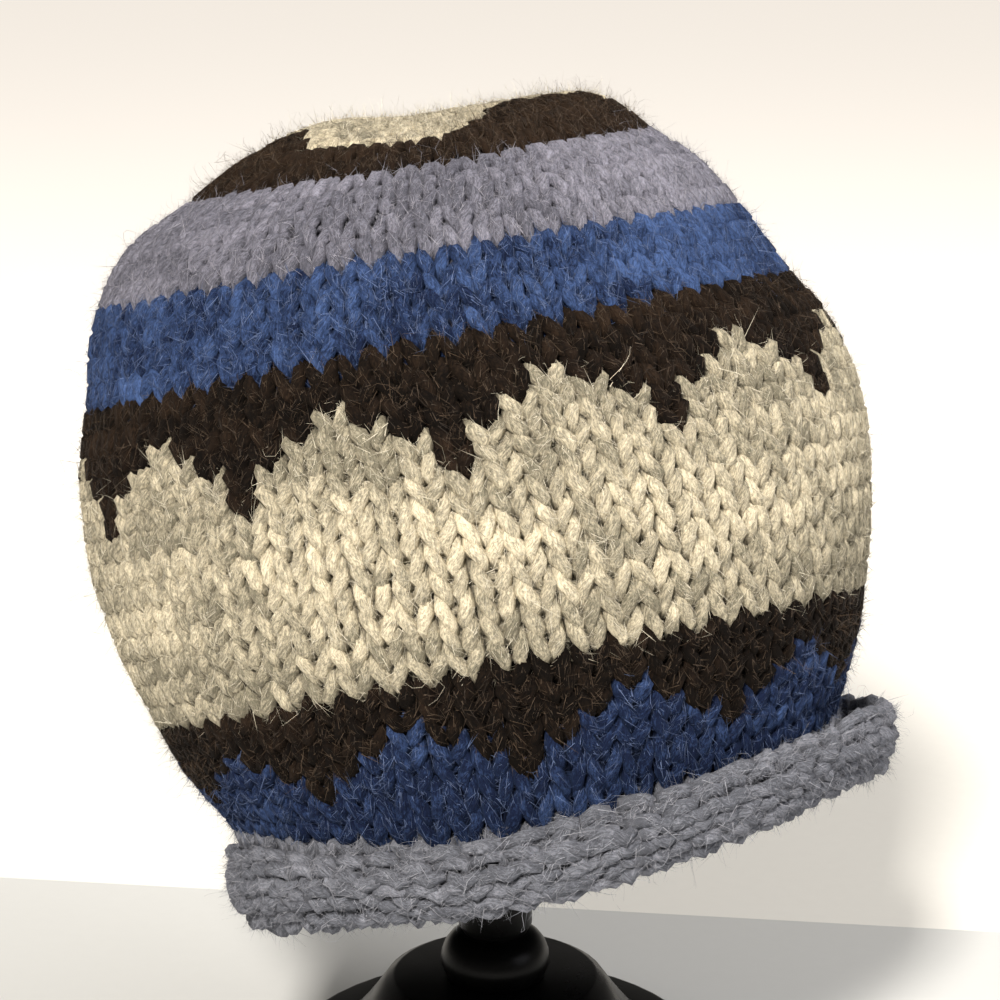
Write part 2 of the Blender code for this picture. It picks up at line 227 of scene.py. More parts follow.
# Where the chart's rows lie on the form: some are drawn out and some pressed together.
ROW_PLACES = np.array(
    [
        # row, course
        (-20.0, -20.0),
        (0.0, 0.0),
        (2.0, 2.1),
        (5.0, 5.0),
        (7.0, 7.0),
        (15.0, 15.5),
        (19.0, 19.0),
        (45.0, 45.0),
    ]
)
TWISTS_A_METRE = 55.0
LUMPINESS = 0.10
LUMP_DRAW = np.random.default_rng(5)
# The yarn swells and thins along its length: share, swellings a metre, seed.
THICK_PLACES = (0.10, 38.0, 500)
THICK_RUNS = (0.06, 9.0, 900)
# A new row's yarn is taken from farther along the skein, in metres.
SKEIN_STEP = 1.7
# How lit the yarn's colour is painted, against painted shade in its hollows: this much at its side, more
# where it faces out, more where it lifts.
OPEN_AT_SIDE = 0.50
OPEN_FACING = 0.38
OPEN_LIFTED = 0.30

# How many stitches are left from a course on.
STITCHES_LEFT = {27: 66, 29: 60, 31: 54, 32: 48, 33: 42, 34: 36, 35: 30, 36: 24, 37: 18, 38: 12, 39: 6}
FIRST_STITCH = math.radians(12.5)
OCTAVES = 4
OCTAVE_RATE = 1.9
OCTAVE_FALL = 1.4
OFF_BEAT = 0.61


def stitches_in(course):
    """How many stitches a course has, after the crown's decreases at six evenly spaced lines."""
    return min([COLUMNS] + [left for start, left in STITCHES_LEFT.items() if start <= course])


def hum(places, rate, seed):
    """Smooth noise along a line, about -1 to 1, that turns rate times a unit."""
    draw = np.random.default_rng(seed)
    total = np.zeros_like(places)
    for octave in range(OCTAVES):
        beat = rate * OCTAVE_RATE**octave
        for turns in (beat, beat * OFF_BEAT):
            total += np.sin(places * turns * math.tau + draw.uniform(0, math.tau)) / OCTAVE_FALL**octave
    return total / OCTAVES


def loop_course(count, seed, unevenness):
    """One course of loops as offsets: stitches round, courses up, depth, and each point's stitch."""
    draw = np.random.default_rng(seed)
    stitch = np.repeat(np.arange(count), POINTS_A_STITCH)
    t = np.tile(np.arange(POINTS_A_STITCH) / POINTS_A_STITCH, count)

    def each(spread, middle=1.0):
        own = middle + draw.normal(0.0, spread * unevenness, count)
        return (own * 0.5 + np.roll(own, 1) * 0.5)[stitch] * (1 - t) + own[stitch] * t

    lean = LEG_LEAN * each(LEAN_SPREAD)
    reach = LOOP_REACH * each(REACH_SPREAD)
    across = stitch + t + lean * np.sin(2 * math.tau * t) + each(SHIFT_SPREAD, 0.0)
    up = -reach * np.cos(math.tau * t) + each(REACH_SPREAD, 0.0)
    depth = -np.cos(2 * math.tau * t) * each(DEPTH_SPREAD)
    return across / count, up, depth, stitch, t


def halves(quads):
    """Splits four-cornered faces into triangles."""
    return np.concatenate([quads[:, [0, 1, 2]], quads[:, [0, 2, 3]]], 1).reshape(-1, 3)


def rounded_yarn(line, outward, lift, radius, along, show):
    """Wraps a closed line of yarn in a tube: points, faces, fibre places and its painted light, with
    painted shade on its inner side.

    show is 1 where the knit side is seen and -1 where the purl side is.
    """
    ahead = np.roll(line, -1, 0) - np.roll(line, 1, 0)
    ahead /= np.linalg.norm(ahead, axis=1, keepdims=True)
    side = np.cross(ahead, outward)
    side /= np.linalg.norm(side, axis=1, keepdims=True)
    over = np.cross(side, ahead)
    turn = np.arange(SIDES) * math.tau / SIDES
    spoke = side[:, None] * np.cos(turn)[None, :, None] + over[:, None] * np.sin(turn)[None, :, None]
    lumps = 1.0 + LUMP_DRAW.normal(0.0, LUMPINESS, spoke.shape[:2])
    points = line[:, None] + spoke * (radius[:, None] * lumps)[:, :, None]
    swirl = turn[None] + along[:, None] * TWISTS_A_METRE * math.tau
    fibre = np.stack(
        [np.cos(swirl) * YARN_RADIUS, np.sin(swirl) * YARN_RADIUS, np.repeat(along[:, None], SIDES, 1)], -1
    )
    # Painted shade: the yarn's colour is darkened where it faces in and where it lies deep among the
    # loops.
    facing = (spoke * outward[:, None]).sum(-1)
    if show < 0:
        facing = np.abs(facing)
    painted_light_and_paleness = np.clip(OPEN_AT_SIDE + OPEN_FACING * facing + OPEN_LIFTED * show * lift[:, None], 0.0, 1.0)
    total = len(line) * SIDES
    low = np.arange(total)
    step_side = np.where(low % SIDES == SIDES - 1, 1 - SIDES, 1)
    quads = np.stack([low, low + step_side, (low + step_side + SIDES) % total, (low + SIDES) % total], 1)
    return points.reshape(-1, 3), halves(quads), fibre.reshape(-1, 3), painted_light_and_paleness.ravel()


class YarnHeap:
    """Collects the loops and hairs of one yarn colour, to be made into one piece."""

    def __init__(self):
        self.points = []
        self.faces = []
        self.fibres = []
        self.tones = []
        self.painted_light_and_paleness = []
        self.kinds = []
        self.size = 0

    def add(self, points, faces, fibres, tones, painted_light_and_paleness, kind):
        self.points.append(points)
        self.faces.append(faces + self.size)
        self.fibres.append(fibres)
        self.tones.append(tones)
        self.painted_light_and_paleness.append(painted_light_and_paleness)
        self.kinds.append(np.full(len(faces), kind, np.int32))
        self.size += len(points)


HEAPS = {}
YARN_KIND = 0
HAIR_KIND = 1

FELT_DEPTH = 0.0010
FELT_OVERLAP = 0.04
# The felt is painted dark, as the shade in the gaps between the loops.
FELT_PAINTED_LIGHT = 0.30


def back_the_row(row, count, place, show, owners, tone_of):
    """Felted fibres behind a row of loops, in each stitch's own colour with painted shade, which close its
    gaps.
    """
    turned = FIRST_STITCH + np.arange(count + 1) / count * math.tau
    edges = []
    for rise in (-FELT_OVERLAP, 1.0 + FELT_OVERLAP):
        level = np.interp(np.full(count + 1, row + rise), ROW_PLACES[:, 0], ROW_PLACES[:, 1])
        middle, normal = place(turned, level)
        edges.append(middle - normal * show * FELT_DEPTH)
    low, high = edges
    patches = np.stack([low[:-1], low[1:], high[1:], high[:-1]], 1)
    tones = tone_of(turned[:-1], turned[:-1], np.full(count, float(row)))
    for name in dict.fromkeys(owners):
        mine = np.flatnonzero(owners == name)
        points = patches[mine].reshape(-1, 3)
        faces = halves(np.arange(len(points)).reshape(-1, 4))
        openness = np.full(len(points), FELT_PAINTED_LIGHT)
        HEAPS[name].add(points, faces, points, np.repeat(tones[mine], 4), openness, YARN_KIND)


def knit_course(row, count, place, colour_of, yarn_scale, tone_of, seed, show=1, unevenness=1.0):
    """Knits one row of loops and deals its stitches to the heaps of their colours.

    place gives the form's points and normals, colour_of the yarn of a stitch and tone_of how
    light it is. The row comes back as grow_fibres wants it.
    """
    across, up, depth, stitch, t = loop_course(count, seed, unevenness)
    turned = FIRST_STITCH + across * math.tau
    level = np.interp(row + 0.5 + up, ROW_PLACES[:, 0], ROW_PLACES[:, 1])
    middle, normal = place(turned, level)
    line = middle + normal * (depth * LOOP_DEPTH * yarn_scale)[:, None]
    gaps = np.linalg.norm(np.roll(line, -1, 0) - line, axis=1)
    along = np.concatenate([[0.0], np.cumsum(gaps)[:-1]]) + row * SKEIN_STEP
    thick = 1.0
    for share, rate, own_seed in (THICK_PLACES, THICK_RUNS):
        thick = thick + share * hum(along, rate, seed + own_seed)
    radius = YARN_RADIUS * yarn_scale * thick * (1.0 - LEG_PLUMPNESS * show * np.cos(2 * math.tau * t))
    points, faces, fibres, painted_light_and_paleness = rounded_yarn(line, normal, depth, radius, along, show)
    tones = np.repeat(tone_of(along, turned, level), SIDES)
    owners = np.array([colour_of(row, k, count) for k in range(count)])
    face_owner = owners[stitch[np.arange(len(faces)) // (2 * SIDES)]]
    for name in dict.fromkeys(owners):
        mine = faces[face_owner == name]
        used, place_in = np.unique(mine, return_inverse=True)
        heap = HEAPS.setdefault(name, YarnHeap())
        heap.add(points[used], place_in.reshape(-1, 3), fibres[used], tones[used], painted_light_and_paleness[used], YARN_KIND)
    back_the_row(row, count, place, show, owners, tone_of)
    return line, normal * show, along, stitch, owners, radius, tones[::SIDES]


FUZZ_LENGTH = 0.0024
FUZZ_WIDTH = 0.00014
FUZZ_RISE = (0.0, 0.40)
FUZZ_BEND = 0.3
FUZZ_PALENESS = 0.75
HAIR_LENGTH = 0.0050
HAIR_WIDTH = 0.00007
HAIR_RISE = (0.2, 1.1)
HAIR_POINTS = 6
HAIR_CURL = 6.0
HAIR_COIL = 0.22
HAIR_STRETCH = 0.6
HAIR_TAPER = 0.6
# Fibres start all round the yarn's outer half, just under its surface, and a little along it.
ROOT_SWING = 0.95
ROOT_SINK = 0.96
ROOT_SLIP = 0.002
# The twist leads them round the yarn: the middle and the spread of that lean.
TWIST_LEAN = (0.5, 0.35)
WAY_SPREAD = 0.15
BEND_SPREAD = 0.75
BEND_BACK = 0.3
ROLL_SPREAD = 0.4
LENGTH_SHAPE = 3.0
LENGTH_RANGE = (0.2, 2.2)
SHADE_SHAPE = 1.6


def grow_fibres(made, a_stitch, standing, draw):
    """Loose fibres on a row of loops: short fuzz that follows the twist, or standing hairs."""
    line, normal, along, stitch, owners, radius, tones = made
    ahead = np.roll(line, -1, 0) - line
    ahead /= np.linalg.norm(ahead, axis=1, keepdims=True)
    number = int(len(owners) * a_stitch)
    at = draw.integers(0, len(line), number)
    side = np.cross(ahead[at], normal[at])
    swing = draw.normal(0.0, ROOT_SWING, number)[:, None]
    root_way = normal[at] * np.cos(swing) + side * np.sin(swing)
    length, width, rise = (
        (HAIR_LENGTH, HAIR_WIDTH, HAIR_RISE) if standing else (FUZZ_LENGTH, FUZZ_WIDTH, FUZZ_RISE)
    )
    out = draw.uniform(*rise, number)
    way = (
        ahead[at] * draw.choice([-1.0, 1.0], number)[:, None]
        + root_way * out[:, None]
        + np.cross(ahead[at], root_way) * draw.normal(*TWIST_LEAN, number)[:, None]
        + draw.normal(0.0, WAY_SPREAD, (number, 3))
    )
    way /= np.linalg.norm(way, axis=1, keepdims=True)
    reach = length * np.clip(draw.gamma(LENGTH_SHAPE, 1 / LENGTH_SHAPE, number), *LENGTH_RANGE)[:, None]
    slip = ahead[at] * draw.uniform(0, ROOT_SLIP, (number, 1))
    root = line[at] + root_way * radius[at][:, None] * ROOT_SINK + slip
    bend = draw.normal(0.0, BEND_SPREAD, (number, 3)) - root_way * BEND_BACK
    spread = np.cross(way, normal[at] + draw.normal(0.0, ROLL_SPREAD, (number, 3)))
    spread /= np.linalg.norm(spread, axis=1, keepdims=True)
    if standing:
        share = np.linspace(0.0, 1.0, HAIR_POINTS)[None, :, None]
        start = draw.uniform(0.0, math.tau, (number, 1, 1))
        turns = draw.normal(0.0, HAIR_CURL, (number, 1, 1))
        coil = spread[:, None] * (np.sin(start + turns * share) - np.sin(start))
        coil = coil + np.cross(way, spread)[:, None] * (np.cos(start + turns * share) - np.cos(start))
        path = root[:, None] + reach[:, None] * (way[:, None] * share * HAIR_STRETCH + coil * HAIR_COIL)
        across = np.cross(np.gradient(path, axis=1), normal[at][:, None])
        across *= width / 2 / np.linalg.norm(across, axis=2, keepdims=True) * (1.0 - HAIR_TAPER * share)
        points = np.stack([path - across, path + across], 2).reshape(number, -1, 3)
        low = np.arange(HAIR_POINTS - 1) * 2
        corners = halves(np.stack([low, low + 1, low + 3, low + 2], 1))
    else:
        half = spread * width / 2
        points = np.stack([root - half, root + half, root + (way + bend * FUZZ_BEND) * reach], 1)
        corners = np.array([[0, 1, 2]])
    owner = owners[stitch[at]]
    shade = draw.beta(SHADE_SHAPE, SHADE_SHAPE, number) * (1.0 if standing else FUZZ_PALENESS)
    each = points.shape[1]
    for name in dict.fromkeys(owners):
        mine = np.flatnonzero(owner == name)
        if len(mine):
            faces = (np.arange(len(mine))[:, None, None] * each + corners[None]).reshape(-1, 3)
            fibres = np.repeat(np.stack([along[at][mine]] * 3, 1), each, 0)
            HEAPS[name].add(
                points[mine].reshape(-1, 3),
                faces,
                fibres,
                np.repeat(tones[at][mine], each),
                np.repeat(shade[mine], each),
                HAIR_KIND,
            )


# Body of the beanie
# Stocking stitch worked in the round, knit side out, charted from the neck up: two
# plain courses, a zigzag of five, three and one stitches in each six, then the next colour.
REPEAT = 6
ZIGZAGS = [
    # first row, widths of the peak row by row, yarn
    (2, (5, 3, 1), "yarn_blue_peaks"),
    (15, (5, 5, 3, 1), "yarn_natural_high"),
]
STRIPES = [
    # first course, yarn
    (0, "yarn_blue_peaks"),
    (2, "yarn_brown_lower"),
    (7, "yarn_natural_low"),
    (11, "yarn_natural_high"),
    (15, "yarn_brown_upper"),
    (21, "yarn_blue_stripe"),
    (25, "yarn_lavender"),
    (30, "yarn_crown_brown"),
]
CROWN_FROM = 30
CROWN_SEAM = np.array(
    [
        # angle, course
        (-180.0, 31.0),
        (-138.0, 34.5),
        (-95.0, 31.2),
        (-50.0, 34.5),
        (-28.0, 32.0),
        (10.0, 32.0),
        (45.0, 35.5),
        (92.0, 31.0),
        (135.0, 34.5),
        (180.0, 31.0),
    ]
)


def body_colour(course, stitch, count):
    """The chart: which yarn a stitch is knitted in."""
    for start, widths, peak in ZIGZAGS:
        if start <= course < start + len(widths):
            from_peak = min(stitch % REPEAT, -stitch % REPEAT)
            if 2 * from_peak < widths[course - start]:
                return peak
    if course >= CROWN_FROM:
        degrees = (math.degrees(FIRST_STITCH) + (stitch + 0.5) / count * 360.0 + 180.0) % 360.0 - 180.0
        if course + 0.5 > np.interp(degrees, CROWN_SEAM[:, 0], CROWN_SEAM[:, 1]):
            return "yarn_crown_natural"
    return [name for start, name in STRIPES if start <= course][-1]


# Where the yarn is drawn lighter or darker: locks of fleece of another tone, and painted light and shade
# where marked.
LOCKS_AND_PAINTED_LIGHT = [
    # angle, course, lighter, angle_width, course_width
    (-62.0, 12.5, -0.30, 32.0, 4.5),
    (62.0, 12.0, -0.24, 26.0, 5.0),
    (14.0, 11.3, -0.42, 6.0, 1.5),
    (-38.0, 12.6, -0.36, 6.0, 1.6),
    (44.0, 13.4, -0.36, 7.0, 1.5),
    # Painted shade: the middle of the lavender band, darker in its crevices.
    (6.0, 27.5, -0.34, 26.0, 3.0),
    # Painted light: the upper right of the lavender and blue stripes, lit from the upper right.
    (52.0, 27.5, 0.42, 26.0, 3.5),
    (52.0, 22.5, 0.20, 26.0, 2.5),
    (0.0, 31.5, 0.50, 200.0, 1.6),
    (0.0, 18.0, -0.30, 34.0, 2.5),
    # Painted shade: the lowest rows at the front, which face down and get less light.
    (0.0, 2.5, -0.20, 70.0, 3.5),
]
SHADE_LEAST = 0.14
# The creamiest part of the natural band: its course, its width in courses, how much lighter.
CREAM_COURSE = 12.2
CREAM_WIDTH = 3.4
CREAM_LIGHTER = 0.60
# Above that the fleece is lighter all the way up.
HIGH_FROM = 14.0
HIGH_WITHIN = 6.0
HIGH_LIGHTER = 0.22
FLEECE_DRIFTS = [
    # share, changes a metre of yarn, seed
    (0.34, 2.3, 77),
    (0.28, 9.0, 78),
    (0.42, 70.0, 79),
]


def body_tone(along, turned, level):
    """How warm and light the yarn is: cream in the middle of the natural band, grey at its edges, with
    painted light and shade at some places.
    """
    middle = np.exp(-(((level - CREAM_COURSE) / CREAM_WIDTH) ** 2))
    high = np.clip((level - HIGH_FROM) / HIGH_WITHIN, 0.0, 1.0)
    drift = sum(share * hum(along, rate, seed) for share, rate, seed in FLEECE_DRIFTS)
    for at_angle, at_level, lighter, angle_width, level_width in LOCKS_AND_PAINTED_LIGHT:
        across = (np.degrees(turned) - at_angle + 180.0) % 360.0 - 180.0
        above = (level - at_level) / level_width
        drift = drift + lighter * np.exp(-((across / angle_width) ** 2) - above**2)
    return np.clip(SHADE_LEAST + CREAM_LIGHTER * middle + HIGH_LIGHTER * high + drift, 0.0, 1.0)


FIBRE_DRAW = np.random.default_rng(7)
FUZZ_A_STITCH = 104
HAIRS_A_STITCH = 5.5
CROWN_HAIRS_A_STITCH = 20
LAST_COURSE = 39
BODY_SEED = 100
CROWDING = 0.4
FINEST_AND_THICKEST = (0.72, 1.05)


def narrowing(course):
    """How much finer the yarn is drawn where the crown's stitches crowd together."""
    width = section(2, course) * HAT_RADIUS * math.tau / stitches_in(course)
    return float(np.clip((width / STITCH_WIDTH) ** CROWDING, *FINEST_AND_THICKEST))


for course in range(LAST_COURSE + 1):
    made = knit_course(
        course,
        stitches_in(course),
        wall_middle,
        body_colour,
        narrowing(course),
        body_tone,
        BODY_SEED + course,
    )
    grow_fibres(made, FUZZ_A_STITCH, False, FIBRE_DRAW)
    grow_fibres(made, CROWN_HAIRS_A_STITCH if course >= CROWN_FROM else HAIRS_A_STITCH, True, FIBRE_DRAW)

# Rolled brim
# The first courses, knitted in grey and left to curl as stocking stitch does: down from the
# neck, outwards and up, so the inner purl side with its bumps faces out. The rows hidden
# inside the roll are a piece of their own, with less fuzz.
BRIM_DROP = 0.0165
BRIM_OUT = 0.0064
LIP_BELOW_NECK = 0.0050
BRIM_WAVES = np.array(
    [
        # angle, out (share of BRIM_OUT), drop (share of BRIM_DROP), lip (share of LIP_BELOW_NECK)
        (-180.0, 1.15, 0.95, 0.90),
        (-135.0, 1.00, 1.00, 1.00),
        (-90.0, 0.78, 1.06, 1.40),
        (-60.0, 0.82, 1.12, 1.20),
        (-42.0, 0.95, 0.92, 0.76),
        (-17.0, 1.05, 0.66, 0.50),
        (7.0, 1.10, 0.58, 0.10),
        (33.0, 1.10, 0.54, 0.10),
        (59.0, 1.30, 0.51, 0.30),
        (90.0, 1.90, 0.68, 1.00),
        (125.0, 1.60, 0.80, 0.80),
        (180.0, 1.15, 0.95, 0.90),
    ]
)
LIP_FLARE = 0.12
LEG_BOW = 0.0019
# The roll is tucked in at the left.
TUCK = 0.0040
TUCK_ANGLE = -88.0
TUCK_WIDTH = 36.0
BRIM_COURSES = 10
BRIM_SEED = 400
BRIM_YARN_SCALE = 0.94
BRIM_UNEVENNESS = 2.6
# The rows from the neck down to the bend of the roll.
BEND_ROWS = 4
PURL_SIDE_OUT_BELOW = -4.5
NECK_FUZZ_A_STITCH = 40


def brim_point(turned, share):
    """A point on the brim's middle line: share 0 is at the neck and 1 at the lip."""
    degrees = (np.degrees(turned) + 180.0) % 360.0 - 180.0
    out, drop, lip = (
        smooth_through(BRIM_WAVES[:, 0], BRIM_WAVES[:, k], degrees) * size
        for k, size in ((1, BRIM_OUT), (2, BRIM_DROP), (3, LIP_BELOW_NECK))
    )
    bend = out / 2
    first = drop
    second = math.pi * bend
    third = drop - lip
    walked = share * (first + second + third)
    swing = np.clip((walked - first) / second, 0.0, 1.0) * math.pi
    risen = np.clip(walked - first - second, -1.0, None)
    risen = np.where(walked > first + second, risen, 0.0)
    below = np.minimum(walked, drop) + bend * np.sin(swing) - risen
    extra = bend * (1 - np.cos(swing)) + out * LIP_FLARE * risen / third
    extra = extra + LEG_BOW * np.sin(math.pi * np.clip(risen / third, 0.0, 1.0))
    neck = np.zeros_like(share)
    angle = stitch_angle(turned, neck)
    right, back, up = ring_axes(neck)
    around = right * np.sin(angle)[..., None] - back * np.cos(angle)[..., None]
    tuck = TUCK * np.exp(-(((degrees - TUCK_ANGLE) / TUCK_WIDTH) ** 2)) * np.clip(walked / first, 0.0, 1.0)
    reach = section(2, neck) * HAT_RADIUS - WALL / 2 + extra - tuck
    return ring_middle(neck) + around * reach[..., None] + up * (riding_up(angle, neck) - below)[..., None]


def brim_middle(turned, level):
    """The brim's surface for courses below 0, with the normal on its knit side."""
    share = -level / BRIM_COURSES
    nudge = 0.01
    rise = brim_point(turned, share - nudge) - brim_point(turned, share + nudge)
    along = brim_point(turned + nudge, share) - brim_point(turned - nudge, share)
    normal = np.cross(along, rise)
    normal /= np.linalg.norm(normal, axis=-1, keepdims=True)
    return brim_point(turned, share), normal


def brim_colour(course, stitch, count):
    """Which of the two grey pieces a stitch belongs to, called as the body's chart is."""
    return "yarn_grey_brim" if course < -BEND_ROWS else "yarn_grey_neck"


for row in range(-BRIM_COURSES, 0):
    made = knit_course(
        row,
        COLUMNS,
        brim_middle,
        brim_colour,
        BRIM_YARN_SCALE,
        body_tone,
        BRIM_SEED + row,
        -1 if row < PURL_SIDE_OUT_BELOW else 1,
        BRIM_UNEVENNESS,
    )
    hidden = -BEND_ROWS <= row < -1
    grow_fibres(made, NECK_FUZZ_A_STITCH if hidden else FUZZ_A_STITCH, False, FIBRE_DRAW)
    grow_fibres(made, HAIRS_A_STITCH, True, FIBRE_DRAW)

# The cast-on edge that ends the lip: a cord of slanted bumps, one for each stitch.
CAST_ON_POINTS = 8
CAST_ON_RISE = 0.25
CAST_ON_SWAY = 0.0011
CAST_ON_YARN_A_STITCH = 0.011
CAST_ON_THICKNESS = 0.98
# The cord is painted lighter, with less painted shade than the loops.
CAST_ON_PAINTED_LIGHT = 0.2
# How the sway and the thickness vary: share, changes a stitch or a metre, seed.
SWAY_DRIFT = (0.2, 0.3, 61)
THICKNESS_DRIFT = (0.10, 38.0, 62)


def cast_on_edge():
    """Lays the cord round the lip, then grows fuzz and hairs on it."""
    count = COLUMNS * CAST_ON_POINTS
    t = np.arange(count) / CAST_ON_POINTS
    turned = FIRST_STITCH + t / COLUMNS * math.tau
    level = np.full(count, -BRIM_COURSES + CAST_ON_RISE)
    middle, normal = brim_middle(turned, level)
    nudge = 0.3
    up = brim_middle(turned, level - nudge)[0] - middle
    up /= np.linalg.norm(up, axis=1, keepdims=True)
    share, rate, seed = SWAY_DRIFT
    sway = CAST_ON_SWAY * (1 + share * hum(t, rate, seed))
    swing_up = (sway * np.sin(math.tau * t))[:, None]
    swing_in = (sway * np.cos(math.tau * t))[:, None]
    line = middle + up * swing_up - normal * swing_in
    along = t * CAST_ON_YARN_A_STITCH
    share, rate, seed = THICKNESS_DRIFT
    radius = YARN_RADIUS * BRIM_YARN_SCALE * (CAST_ON_THICKNESS + share * hum(along, rate, seed))
    points, faces, fibres, painted_light_and_paleness = rounded_yarn(line, normal, np.zeros(count), radius, along, -1)
    painted_light_and_paleness = np.clip(painted_light_and_paleness + CAST_ON_PAINTED_LIGHT, 0, 1)
    tones = body_tone(along, turned, level)
    HEAPS["yarn_grey_brim"].add(points, faces, fibres, np.repeat(tones, SIDES), painted_light_and_paleness, YARN_KIND)
    owners = np.array(["yarn_grey_brim"] * COLUMNS)
    made = (line, -normal, along, t.astype(int), owners, radius, tones)
    grow_fibres(made, FUZZ_A_STITCH, False, FIBRE_DRAW)
    grow_fibres(made, HAIRS_A_STITCH, True, FIBRE_DRAW)


cast_on_edge()

# Stray hairs
# Long guard hairs of the fleece that have worked loose. Each is spun in at one end and curls
# freely over the fabric, most of them on the natural yarn, at the brim and round the outline.
STRAY_POINTS = 10
STRAY_WIDTH = 0.00008
STRAY_LENGTHS = (0.007, 0.024)
STRAY_RISE = (0.3, 0.9)
STRAY_SPREAD = 0.8
STRAY_CURL = 0.62
# Each step keeps this share of the last step's curl and draws the rest anew.
STRAY_KEEPS = 0.8
STRAY_WANDER = 0.5
STRAY_ROLL = 0.3
# A hair that stands farther off the fabric than this is bent back to it.
STRAY_HUG = 0.0045
STRAY_PALENESS = (0.1, 0.9)
STRAY_SEED = 23
STRAYS = [
    # heap, how many, lowest and highest course, which surface
    ("yarn_natural_high", 42, 8.5, 17.0, wall_middle),
    ("yarn_brown_lower", 22, 3.0, 6.5, wall_middle),
    ("yarn_brown_upper", 26, 16.0, 20.5, wall_middle),
    ("yarn_blue_peaks", 18, 0.5, 3.0, wall_middle),
    ("yarn_blue_stripe", 18, 21.5, 24.5, wall_middle),
    ("yarn_lavender", 24, 25.5, 29.5, wall_middle),
    ("yarn_crown_brown", 26, 30.5, 33.0, wall_middle),
    ("yarn_grey_brim", 64, -9.5, -5.0, brim_middle),
]


def curling_hair(root, out, length, paleness, draw):
    """One hair as a narrow ribbon that leaves the yarn and curls back towards it."""
    way = out * draw.uniform(*STRAY_RISE) + draw.normal(0.0, STRAY_SPREAD, 3)
    way /= np.linalg.norm(way)
    axis = draw.normal(0.0, 1.0, 3)
    step = length / (STRAY_POINTS - 1)
    line = [root]
    for _ in range(STRAY_POINTS - 1):
        axis = axis * STRAY_KEEPS + draw.normal(0.0, STRAY_WANDER, 3)
        height = np.dot(line[-1] - root, out)
        way = way + np.cross(axis, way) * STRAY_CURL - out * max(height - STRAY_HUG, 0.0) / STRAY_HUG
        way /= np.linalg.norm(way)
        line.append(line[-1] + way * step)
    line = np.array(line)
    side = np.cross(np.gradient(line, axis=0), out + draw.normal(0.0, STRAY_ROLL, 3))
    side /= np.linalg.norm(side, axis=1, keepdims=True)
    half = side * STRAY_WIDTH / 2
    points = np.stack([line - half, line + half], 1).reshape(-1, 3)
    low = np.arange(STRAY_POINTS - 1) * 2
    faces = halves(np.stack([low, low + 1, low + 3, low + 2], 1))
    return points, faces, np.full(len(points), paleness)


def grow_strays():
    """Spins the stray hairs in, at random places between each row's courses."""
    draw = np.random.default_rng(STRAY_SEED)
    for heap, number, lowest, highest, surface in STRAYS:
        turned = draw.uniform(-math.pi, math.pi, number)
        middle, normal = surface(turned, draw.uniform(lowest, highest, number))
        if surface is brim_middle:
            normal = -normal
        for k in range(number):
            length = draw.uniform(*STRAY_LENGTHS)
            root = middle[k] + normal[k] * YARN_RADIUS
            paleness = draw.uniform(*STRAY_PALENESS)
            points, faces, pale = curling_hair(root, normal[k], length, paleness, draw)
            blank = np.zeros(len(points))
            HEAPS[heap].add(points, faces, np.zeros((len(points), 3)), blank, pale, HAIR_KIND)


grow_strays()

# Wool
# Undyed and dyed sheep's wool, woollen-spun. It gives a dull, deep colour with no gloss, a
# pale bloom at grazing angles from the fibre ends, and fine streaks that follow the twist,
# with painted highlight and shade between the fibres.
WOOLS = {
    # name: (dark colour, light colour, loose hair colour)
    "blue": ("#101930", "#3C5079", "#68799F"),
    "brown": ("#080503", "#261C14", "#5A4A3B"),
    "natural": ("#716C5D", "#CBC0A7", "#E2DAC6"),
    "lavender": ("#505059", "#7D7C88", "#9C9AA4"),
    "grey": ("#54565D", "#84868F", "#A3A4AC"),
}
# Fibres are drawn about ten times as coarse as they are: finer would not show.
FIBRE_STREAK = 0.00036
FIBRE_CLUMP = 0.0016
# Streaks are drawn out along the yarn to about fourteen times their width.
STREAK_SQUEEZE = 0.07
STREAK_TONE = 0.16
CLUMP_TONE = 0.20
# Along the streaks the colour is multiplied between these: partly the fibres' own tone, partly painted
# highlight and shade.
STRAND_SHADE = (0.60, 1.20)
# Painted shade: the least the wool's colour is multiplied by, where it lies deepest in the hollows.
HOLLOW_SHADE = 0.13


def linear(hex_colour):
    """An sRGB hex colour as linear RGBA."""
    parts = [int(hex_colour[k : k + 2], 16) / 255 for k in (1, 3, 5)]
    return (*[p / 12.92 if p <= 0.04045 else ((p + 0.055) / 1.055) ** 2.4 for p in parts], 1.0)


def add_node(tree, kind, settings=None, **links):
    """Adds a node, sets its properties and sockets, and links sockets where given a socket.

    _0 is a socket by its number. A Mix node's colours are _6 and _7, and its colour out is 2.
    """
    node = tree.nodes.new(kind)
    for key, value in (settings or {}).items():
        setattr(node, key, value)
    for key, value in links.items():
        socket = node.inputs[int(key[1:])] if key[1:].isdigit() else node.inputs[key.replace("_", " ")]
        if isinstance(value, bpy.types.NodeSocket):
            tree.links.new(value, socket)
        else:
            socket.default_value = value
    return node


def new_material(name):
    made = bpy.data.materials.new(name)
    made.use_nodes = True
    return made, made.node_tree, made.node_tree.nodes["Principled BSDF"]


def set_sockets(shader, values):
    """Sets the shader's own sockets to plain values."""
    for socket, value in values.items():
        shader.inputs[socket].default_value = value


